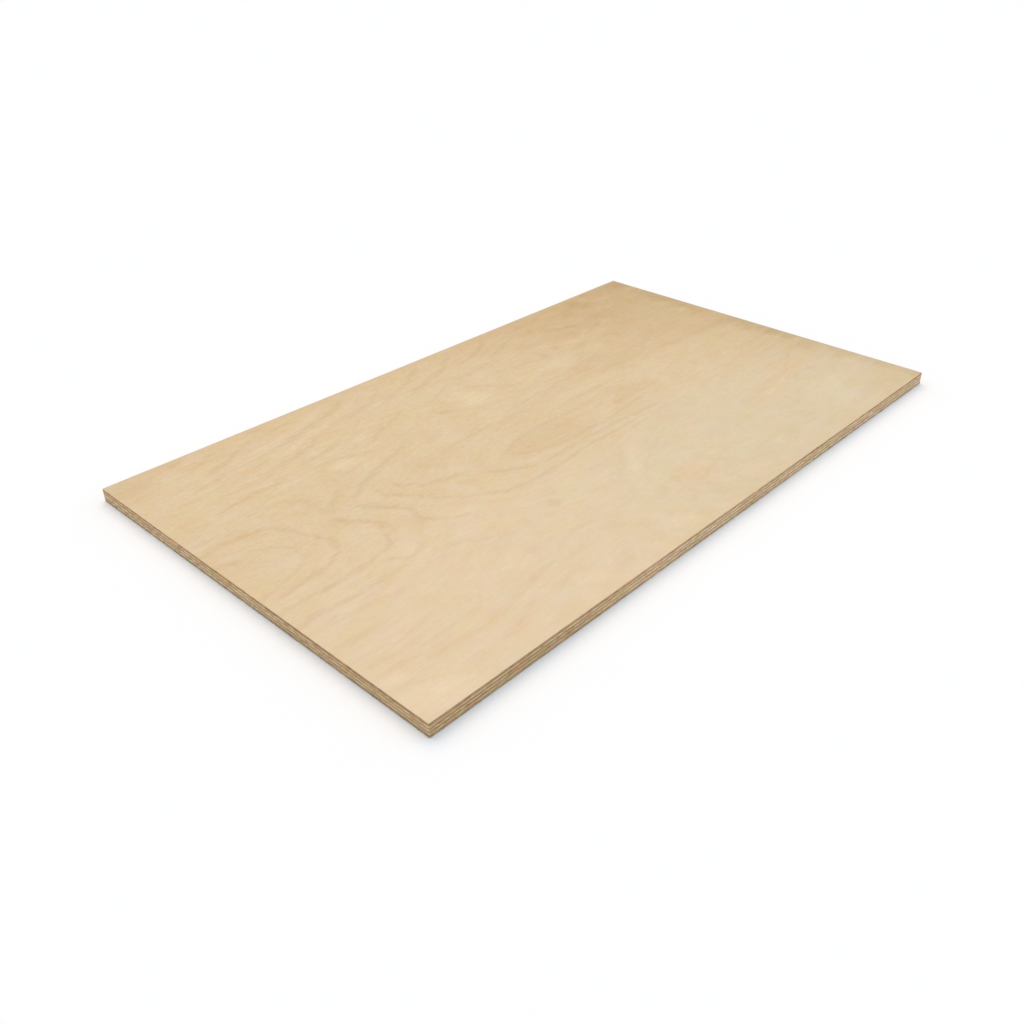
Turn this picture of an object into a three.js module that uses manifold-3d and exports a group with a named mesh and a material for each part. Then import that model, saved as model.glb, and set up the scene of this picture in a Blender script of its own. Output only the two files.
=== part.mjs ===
// Plywood sheet, 1000 x 600 x 18 mm: nine peeled veneers, laid up with the grain of each one square
// to the next, pressed, sawn to size and sanded. Millimetres, +Z up.
// The origin is the middle of the back, which lies on the ground. +X runs along the sheet, which is
// along the grain of its face, and +Y across it.
import * as THREE from "three";
import { mergeVertices } from "three/addons/utils/BufferGeometryUtils.js";
import Module from "manifold-3d";

const manifold = await Module();
manifold.setup();

// The sheet as sawn and sanded.
const sheetLength = 1000; // along the grain of the face
const sheetWidth = 600; // across the grain of the face
const arris = 0.5; // radius that sandpaper leaves on the edges of the face and of the back
const arrisFacets = 3;

// The lay-up.
const veneerCount = 9; // odd, so that the sheet is balanced about its middle veneer
const outerVeneer = 1.6; // the face and the back, after sanding
const innerVeneer = 2; // all those between them
const glueLine = 0.1; // cured glue between two veneers, left here as a gap

const innerCount = veneerCount - 2;
const sheetThickness = 2 * outerVeneer + innerCount * innerVeneer + (veneerCount - 1) * glueLine;

// A veneer's colour goes by the part that it plays in the sheet.
const veneerMaterial = (color, roughness) =>
  new THREE.MeshStandardMaterial({ color, roughness, metalness: 0 });
const faceBirch = veneerMaterial("#dfc7a3", 0.55);
const backBirch = veneerMaterial("#d8bf98", 0.6);
const lengthwiseBirch = veneerMaterial("#c9ab80", 0.8);
const crosswiseBirch = veneerMaterial("#a3825a", 0.85);

function solidFrom(geometry) {
  const welded = geometry.clone().deleteAttribute("normal").deleteAttribute("uv");
  const { attributes, index } = mergeVertices(welded);
  const mesh = new manifold.Mesh({
    numProp: 3,
    vertProperties: new Float32Array(attributes.position.array),
    triVerts: new Uint32Array(index.array),
  });
  return new manifold.Manifold(mesh);
}

function geometryFrom(solid) {
  const { vertProperties, triVerts } = solid.getMesh();
  const geometry = new THREE.BufferGeometry();
  geometry.setAttribute("position", new THREE.BufferAttribute(vertProperties, 3));
  geometry.setIndex(new THREE.BufferAttribute(triVerts, 1));
  geometry.computeVertexNormals();
  return geometry;
}

// The pressed sheet as if it were one piece: its sawn outline, raised to the full thickness, with
// the edges of both faces rounded over and the corners of the plan left sharp.
function pressedSheet() {
  const outline = new THREE.Shape([
    new THREE.Vector2(-sheetLength / 2, -sheetWidth / 2),
    new THREE.Vector2(sheetLength / 2, -sheetWidth / 2),
    new THREE.Vector2(sheetLength / 2, sheetWidth / 2),
    new THREE.Vector2(-sheetLength / 2, sheetWidth / 2),
  ]);
  const sheet = new THREE.ExtrudeGeometry(outline, {
    depth: sheetThickness - 2 * arris,
    bevelThickness: arris,
    bevelSize: arris,
    bevelOffset: -arris,
    bevelSegments: arrisFacets,
  });
  return sheet.translate(0, 0, arris);
}

// One veneer is the slice of the pressed sheet between two heights, moved down to stand on z = 0.
// What it is cut from lies well outside the sheet on all sides, as the veneers do in the press.
function veneerSlice(sheet, underside, thickness) {
  const layer = new THREE.BoxGeometry(2 * sheetLength, 2 * sheetWidth, thickness);
  layer.translate(0, 0, underside + thickness / 2);
  const slice = sheet.intersect(solidFrom(layer));
  return geometryFrom(slice.translate([0, 0, -underside]));
}

// What the veneer at a place in the lay-up is, counted from the back. Every second one is a
// crossband, with its grain across the sheet. All the others have it lengthwise, as the face has.
function roleOf(place) {
  if (place === 0) return { name: "back_veneer", thickness: outerVeneer, birch: backBirch };
  if (place === veneerCount - 1) {
    return { name: "face_veneer", thickness: outerVeneer, birch: faceBirch };
  }
  const pair = Math.ceil(place / 2);
  const isCrossband = place % 2 === 1;
  return isCrossband
    ? { name: `crossband_${pair}`, thickness: innerVeneer, birch: crosswiseBirch }
    : { name: `long_band_${pair}`, thickness: innerVeneer, birch: lengthwiseBirch };
}

const plywoodSheet = new THREE.Group();
plywoodSheet.name = "plywood_sheet";

const sheet = solidFrom(pressedSheet());
let underside = 0;
for (let place = 0; place < veneerCount; place++) {
  const { name, thickness, birch } = roleOf(place);
  const veneer = new THREE.Mesh(veneerSlice(sheet, underside, thickness), birch);
  veneer.name = name;
  veneer.position.z = underside;
  plywoodSheet.add(veneer);
  underside += thickness + glueLine;
}

export default plywoodSheet;
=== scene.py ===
import math
from functools import partial

import bpy
from mathutils import Euler, Matrix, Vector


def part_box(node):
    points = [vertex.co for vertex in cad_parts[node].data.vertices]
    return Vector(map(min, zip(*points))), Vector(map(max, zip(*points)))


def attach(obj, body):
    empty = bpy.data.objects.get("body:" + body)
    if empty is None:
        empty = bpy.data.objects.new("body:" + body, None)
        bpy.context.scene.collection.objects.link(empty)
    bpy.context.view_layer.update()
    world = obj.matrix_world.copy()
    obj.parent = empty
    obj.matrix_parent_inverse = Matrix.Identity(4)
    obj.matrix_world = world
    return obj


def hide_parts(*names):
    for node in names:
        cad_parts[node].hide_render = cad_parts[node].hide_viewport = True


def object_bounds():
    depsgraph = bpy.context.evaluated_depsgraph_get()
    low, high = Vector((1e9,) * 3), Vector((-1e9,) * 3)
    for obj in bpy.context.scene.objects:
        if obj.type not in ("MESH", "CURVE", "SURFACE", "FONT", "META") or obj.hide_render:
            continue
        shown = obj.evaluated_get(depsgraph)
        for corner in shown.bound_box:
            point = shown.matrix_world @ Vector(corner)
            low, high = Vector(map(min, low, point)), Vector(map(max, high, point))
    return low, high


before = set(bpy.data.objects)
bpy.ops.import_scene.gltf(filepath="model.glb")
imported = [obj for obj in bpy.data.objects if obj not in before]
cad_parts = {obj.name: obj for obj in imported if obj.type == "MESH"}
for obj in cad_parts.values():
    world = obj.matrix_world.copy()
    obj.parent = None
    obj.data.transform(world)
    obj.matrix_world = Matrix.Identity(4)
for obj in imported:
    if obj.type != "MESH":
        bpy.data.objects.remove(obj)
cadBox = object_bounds()

mm = 0.001
halfLength = cadBox[1].x / mm    # the sheet is centred on the axes, so this is its far corner
halfWidth = cadBox[1].y / mm
layers = ["back_veneer", "crossband_1", "long_band_1", "crossband_2", "long_band_2", "crossband_3",
          "long_band_3", "crossband_4", "face_veneer"]


def report(text):
    print("plywood:", text)


def toLinear(part):
    return part / 12.92 if part <= 0.04045 else ((part + 0.055) / 1.055) ** 2.4


def fromHex(code):
    # a hex colour as the linear values that a shader reads
    return (*(toLinear(int(code[place:place + 2], 16) / 255) for place in (1, 3, 5)), 1.0)


def addNode(tree, kind, inputs=None, **settings):
    made = tree.nodes.new(kind)
    for name, value in settings.items():
        setattr(made, name, value)
    for socket, value in (inputs or {}).items():
        if isinstance(value, bpy.types.NodeSocket):
            tree.links.new(value, made.inputs[socket])
        else:
            made.inputs[socket].default_value = value
    return made


def newGroup(name, kind, inputs, output):
    # inputs and output say what kind of value a socket carries, then its label
    group = bpy.data.node_groups.new(name, kind)
    sockets = [("INPUT", carried, label) for carried, labels in inputs.items() for label in labels]
    for side, carried, label in sockets + [("OUTPUT", *output)]:
        group.interface.new_socket(name=label, in_out=side, socket_type="NodeSocket" + carried)
    given = group.nodes.new("NodeGroupInput").outputs
    return group, given, group.nodes.new("NodeGroupOutput").inputs[0]


def calc(tree, operation, *values, clamp=False):
    return addNode(tree, "ShaderNodeMath", dict(enumerate(values)), operation=operation,
                   use_clamp=clamp).outputs[0]


def sumsOf(tree, *operations):
    # short names for the sums that one tree repeats
    return [partial(calc, tree, operation) for operation in operations]


def vectorCalc(tree, operation, inputs):
    # gives the outputs, a vector and a value
    return addNode(tree, "ShaderNodeVectorMath", inputs, operation=operation).outputs


def ramp(tree, value, low, high, start=0.0, end=1.0, smooth=True):
    # value from low to high becomes start to end, and stays level outside
    return addNode(tree, "ShaderNodeMapRange", {"Value": value, "From Min": low, "From Max": high,
                                                "To Min": start, "To Max": end},
                   interpolation_type="SMOOTHSTEP" if smooth else "LINEAR", clamp=True).outputs[0]


def point(tree, x, y, z=0.0):
    return addNode(tree, "ShaderNodeCombineXYZ", {"X": x, "Y": y, "Z": z}).outputs[0]


def partsOf(tree, vector):
    return addNode(tree, "ShaderNodeSeparateXYZ", {0: vector}).outputs


def noiseAt(tree, dimensions, spot, detail, roughness, **inputs):
    return addNode(tree, "ShaderNodeTexNoise", {"Vector": spot, "Scale": 1.0, "Detail": detail,
                                                "Roughness": roughness, **inputs},
                   noise_dimensions=dimensions).outputs[0]


def grainNoise(tree, x, y, z, sizes, seed, detail=3.0, roughness=0.55):
    # noise from 0 to 1 whose blotches have the given sizes, in the units of x, y and z
    inSizes = (calc(tree, "DIVIDE", value, size) for value, size in zip((x, y, z), sizes))
    return noiseAt(tree, "4D", point(tree, *inSizes), detail, roughness, W=seed)


def faceNoise(tree, x, y, sizes, seed, detail=3.0, roughness=0.55):
    # the same on a broad face, by a shorter sum
    spot = point(tree, calc(tree, "MULTIPLY_ADD", x, 1 / sizes[0], seed),
                 calc(tree, "MULTIPLY_ADD", y, 1 / sizes[1], -seed))
    return noiseAt(tree, "2D", spot, detail, roughness)


def swing(tree, noise, amount, onto=0.0):
    # adds noise to a value, as much up as down
    return calc(tree, "MULTIPLY_ADD", calc(tree, "SUBTRACT", noise, 0.5), amount, onto)


def blend(tree, share, first, second):
    # a mix node has its colours at its inputs 6 and 7 and at its output 2
    return addNode(tree, "ShaderNodeMix", {0: share, 6: first, 7: second}, data_type="RGBA",
                   blend_type="MIX", clamp_factor=True).outputs[2]


def tinted(tree, colour, tone, lean):
    # lightens or darkens a colour by a share, each of red, green and blue by its own lean
    factors = point(tree, *(calc(tree, "MULTIPLY_ADD", tone, amount, 1.0) for amount in lean))
    return vectorCalc(tree, "MULTIPLY", {0: colour, 1: factors})[0]


def relief(tree, height, strength, depth):
    return addNode(tree, "ShaderNodeBump", {"Height": height, "Strength": strength,
                                            "Distance": depth * mm}).outputs[0]


def newMaterial(name):
    made = bpy.data.materials.new(name)
    made.use_nodes = True
    return made, made.node_tree, made.node_tree.nodes["Principled BSDF"]


def dress(tree, shader, colour, roughness, bump):
    for socket, value in (("Base Color", colour), ("Roughness", roughness), ("Normal", bump)):
        tree.links.new(value, shader.inputs[socket])


def sheetPlace(tree):
    # millimetres from the middle of the sheet along its length and width, and up from its underside
    place = addNode(tree, "ShaderNodeTexCoord").outputs["Object"]
    return partsOf(tree, vectorCalc(tree, "SCALE", {0: place, 3: 1 / mm})[0])


# A rotary-cut veneer shows its growth rings as hills on a map: each ring line is a contour.
hillSockets = {"centre": ("Centre X", "Centre Y"), "crest": ("Crest Left", "Crest Right"),
               "ringAlong": ("Ring Left", "Ring Right"), "ringAcross": ("Ring Up", "Ring Down"),
               "bend": ("Bend",), "bluntness": ("Bluntness Up", "Bluntness Down"), "top": ("Top",)}
hillBend = {"from": 60.0, "span": 200.0}     # the crest runs straight at first, and then bends


def ringHillGroup():
    labels = ["X", "Y"] + [label for pair in hillSockets.values() for label in pair]
    group, given, done = newGroup("ringHill", "ShaderNodeTree", {"Float": labels},
                                  ("Float", "Ring"))
    plus, minus, times, over, power, larger = sumsOf(group, "ADD", "SUBTRACT", "MULTIPLY", "DIVIDE",
                                                     "POWER", "MAXIMUM")
    along = minus(given["X"], given["Centre X"])
    leftOf = times(along, -1.0)
    past = larger(minus(leftOf, hillBend["from"]), 0.0)
    crest = times(given["Bend"], over(power(past, 2.0), hillBend["span"]))
    across = minus(minus(given["Y"], given["Centre Y"]), crest)
    endLeft = over(larger(minus(leftOf, given["Crest Left"]), 0.0), given["Ring Left"])
    endRight = over(larger(minus(along, given["Crest Right"]), 0.0), given["Ring Right"])
    ringsAlong = plus(endLeft, endRight)
    ringsUp = over(larger(across, 0.0), given["Ring Up"])
    ringsDown = over(larger(times(across, -1.0), 0.0), given["Ring Down"])
    ringsAcross = plus(ringsUp, ringsDown)
    isUp = calc(group, "GREATER_THAN", across, 0.0)
    bluntness = ramp(group, isUp, 0.0, 1.0, given["Bluntness Down"], given["Bluntness Up"],
                     smooth=False)
    powers = plus(power(ringsAlong, bluntness), power(ringsAcross, bluntness))
    group.links.new(minus(given["Top"], power(powers, over(1.0, bluntness))), done)
    return group


ringHill = ringHillGroup()


def addHill(tree, x, y, hill):
    inputs = {"X": x, "Y": y}
    for key, labels in hillSockets.items():
        value = hill.get(key, 0.0)
        inputs.update(zip(labels, value if isinstance(value, tuple) else (value,)))
    return addNode(tree, "ShaderNodeGroup", inputs, node_tree=ringHill).outputs[0]


def ringsOver(tree, x, y, hills):
    # each hill rises out of the ones before it, and they join softly
    ring = None
    for hill in hills.values():
        level = calc(tree, "SUBTRACT", y, ramp(tree, x, *hill["rise"])) if "rise" in hill else y
        other = addHill(tree, x, level, hill)
        ring = other if ring is None else calc(tree, "SMOOTH_MAX", ring, other, hill["join"])
    return ring


autumnShare = 0.55     # how wide a ring line's harder side is beside its softer one


def ringLines(tree, ring, offset, width):
    # dark lines where ring passes a whole number, softer on the side of the spring wood
    turn = calc(tree, "FRACT", calc(tree, "ADD", ring, offset))
    soft = ramp(tree, turn, 1.0 - width, 1.0)
    back = ramp(tree, turn, 0.0, autumnShare * width, 1.0, 0.0)
    return calc(tree, "MAXIMUM", soft, back)


def ovalDistances(tree, spot, centre, reach, turn):
    # how many reaches spot lies from the centre, along and across a turned oval; spot is (x, y, 1)
    cosine, sine = math.cos(math.radians(turn)), math.sin(math.radians(turn))
    for partX, partY, length in ((cosine, sine, reach[0]), (-sine, cosine, reach[1])):
        partX, partY = partX / length, partY / length
        weights = (partX, partY, -partX * centre[0] - partY * centre[1])
        yield vectorCalc(tree, "DOT_PRODUCT", {0: spot, 1: weights})[1]


def addPatch(tree, spot, centre, reach, turn=0.0, softness=0.6, amount=1.0):
    # a soft oval, amount in its middle and 0 outside, half of it at its reach
    distances = point(tree, *ovalDistances(tree, spot, centre, reach, turn))
    far = vectorCalc(tree, "LENGTH", {0: distances})[1]
    return ramp(tree, far, 1.0 - softness, 1.0 + softness, amount, 0.0)


def leanTowards(tree, spot, colour, patches):
    for patch in patches.values():
        share = addPatch(tree, spot, patch["centre"], patch["reach"], patch.get("turn", 0.0),
                         patch.get("softness", 0.6), patch["share"])
        colour = blend(tree, share, colour, fromHex(patch["tint"]))
    return colour


markEnd = 1.85     # a mark has faded away this many reaches from its centre


def addMark(tree, spot, x, y, reachX, reachY, turn, amount, onto):
    # a small soft oval added to a tone, by a shorter sum than a patch
    squares = 0.0
    for far in ovalDistances(tree, spot, (x, y), (markEnd * reachX, markEnd * reachY), turn):
        squares = calc(tree, "MULTIPLY_ADD", far, far, squares)
    inside = calc(tree, "SUBTRACT", 1.0, squares, clamp=True)
    return calc(tree, "MULTIPLY_ADD", calc(tree, "MULTIPLY", inside, inside), amount, onto)


def strokeMarks(stroke):
    # a line through its points, as a chain of ovals that fade into one another
    reach, amount, *points = stroke
    marks = []
    for (startX, startY), (endX, endY) in zip(points, points[1:]):
        turn = math.degrees(math.atan2(endY - startY, endX - startX))
        half = math.hypot(endX - startX, endY - startY) / 2
        marks.append(((startX + endX) / 2, (startY + endY) / 2, half, reach, turn, amount))
    return marks


def marksBetween(marks, low, high):
    # those that can show between two places along the sheet, wherever the wavering carries them
    room = faceFigure["amounts"]["shake"] / 2
    chosen = []
    for mark in marks:
        x, y, reachX, reachY, turn, amount = mark
        turned = math.radians(turn)
        reach = markEnd * math.hypot(reachX * math.cos(turned), reachY * math.sin(turned)) + room
        if x + reach > low and x - reach < high:
            chosen.append(mark)
    return chosen


def markGroup(name, marks):
    group, given, done = newGroup(name, "ShaderNodeTree", {"Vector": ["Spot"]}, ("Float", "Tone"))
    tone = 0.0
    for mark in marks:
        tone = addMark(group, given["Spot"], *mark, tone)
    group.links.new(tone, done)
    return group


def figureNoises(tree, figure, x, y, z):
    # a figure's noises by name: with three sizes they fill the wood, with two they lie on its face
    def noise(name):
        sizes, *rest = figure["noises"][name]
        if len(sizes) == 3:
            return grainNoise(tree, x, y, z, sizes, *rest)
        return faceNoise(tree, x, y, sizes, *rest)

    def swung(name, onto=0.0):
        return swing(tree, noise(name), figure["amounts"][name], onto)

    return noise, swung


def woodRelief(tree, figure, vessels, fibre):
    heights = figure["heights"]
    height = calc(tree, "MULTIPLY_ADD", vessels, heights["vessels"],
                  calc(tree, "MULTIPLY", fibre, heights["fibre"]))
    return relief(tree, height, *figure["relief"])


# Sizes are millimetres from the middle of the sheet, tops are in rings, and a ring's sizes say how
# far apart its lines lie along and across the sheet.
faceFigure = {
    "base": "#dac19a",
    "hills": {
        "eye": {"centre": (45, -15), "crest": (90, 110), "ringAlong": (35, 200),
                "ringAcross": (19, 15), "bend": 0.17, "bluntness": (1.35, 2.3), "top": 0.0},
        "leftLoop": {"centre": (-495, 5), "crest": (70, 0), "ringAlong": (44, 44),
                     "ringAcross": (29, 25), "bluntness": (2.4, 2.4), "top": -3.4, "join": 1.2},
        "upperLoop": {"centre": (75, 152), "crest": (10, 90), "ringAlong": (42, 80),
                      "ringAcross": (24, 24), "bluntness": (1.8, 1.8), "top": -5.4, "join": 1.5},
        "sweep": {"centre": (0, 132), "crest": (1000, 1000), "ringAlong": (60, 60),
                  "ringAcross": (25, 60), "bluntness": (2.0, 2.0), "top": -8.15, "join": 1.5,
                  "rise": (-500, 200, 0, 100)},     # from, to, and how far it climbs on the way
        "lowerLoop": {"centre": (200, -200), "crest": (30, 200), "ringAlong": (48, 90),
                      "ringAcross": (34, 30), "bluntness": (1.8, 1.8), "top": -8.0, "join": 2.0},
    },
    "ringOffset": 0.33,
    "lineWidth": 0.26,
    "lineDepth": 0.075,
    "lineEverywhere": 0.14,
    "noises": {     # sizes of the blotches, seed, detail and roughness
        "drift": ((150, 34, 100), 3.0), "shiver": ((28, 7, 100), 8.0, 2.0),
        "ragged": ((12, 2.5), 12.3, 2.0), "breaks": ((55, 24), 21.4),
        "waver": ((90, 30), 31.7), "waverAcross": ((110, 24), 37.2),
        "shake": ((22, 9), 61.8), "shakeAcross": ((20, 8), 67.1),
        "clouds": ((60, 38), 41.6, 4.0, 0.85), "grit": ((8, 4), 44.2, 2.0, 0.9),
        "yellow": ((52, 30), 45.7, 4.0, 0.78), "pink": ((48, 28), 46.9, 4.0, 0.78),
        "streak": ((38, 1.8), 43.9, 2.0), "fibre": ((26, 0.6), 47.4, 2.0, 0.7),
        "vessels": ((2.6, 0.16), 53.5, 1.0), "ribs": ((40, 3.0), 49.6),
        "threads": ((22, 1.7), 59.2, 1.0),
    },
    "amounts": {     # in rings, then in millimetres, then in shares of the colour
        "drift": 0.7, "shiver": 0.16, "ragged": 0.3,
        "waver": 90.0, "waverAcross": 30.0, "shake": 18.0, "shakeAcross": 10.0,
        "clouds": 0.2, "flow": 0.12, "grit": 0.17, "ribs": 0.14, "strands": 0.1, "streak": 0.095,
        "fibre": 0.07, "vessels": -0.06, "yellow": 0.28, "pink": 0.1,
    },
    # streaks that follow the rings: reach, how many to a ring, detail and roughness
    "flow": (70.0, 1.6, 3.0, 0.7),
    "strands": (60.0, 3.4, 2.0, 0.75),
    # from, to, and the values there
    "lineBreaks": (0.36, 0.62, 0.12, 1.0),
    "broadAcross": (-190.0, -20.0, 0.72, 1.0),
    "gritAcross": (-150.0, 60.0, 0.5, 1.15),
    "ribsAcross": (0.0, 150.0),
    "vesselShows": (0.66, 0.76),
    "threadStrength": (0.25, 0.75, 0.5, 1.5),
    # painted shade: the face darkens along its two far sides
    "rimPaintedShade": (1.0, 8.0, -0.055, 0.0),
    # a grey tint near the far sides, partly dust and partly painted sheen
    "rimDustAndSheen": (1.0, 10.0, 0.2, 0.0),
    "roughness": (0.2, 0.8, 0.5, 0.62),
    "broadLean": (0.35, 1.06, 2.45),     # darker wood is also browner, most of all in broad patches
    "markLean": (0.74, 1.02, 1.44),
    "fineLean": (0.88, 1.0, 1.16),
    "yellowLean": (-0.04, 0.12, -1.0),
    "pinkLean": (1.0, -0.57, 0.0),
    "dustAndSheen": "#c9c5b8",
    "heights": {"vessels": -0.6, "fibre": 0.5},
    "relief": (0.35, 0.03),     # strength and depth in millimetres
    "vesselDulls": 0.15,
    "markPanels": 8,
}

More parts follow.
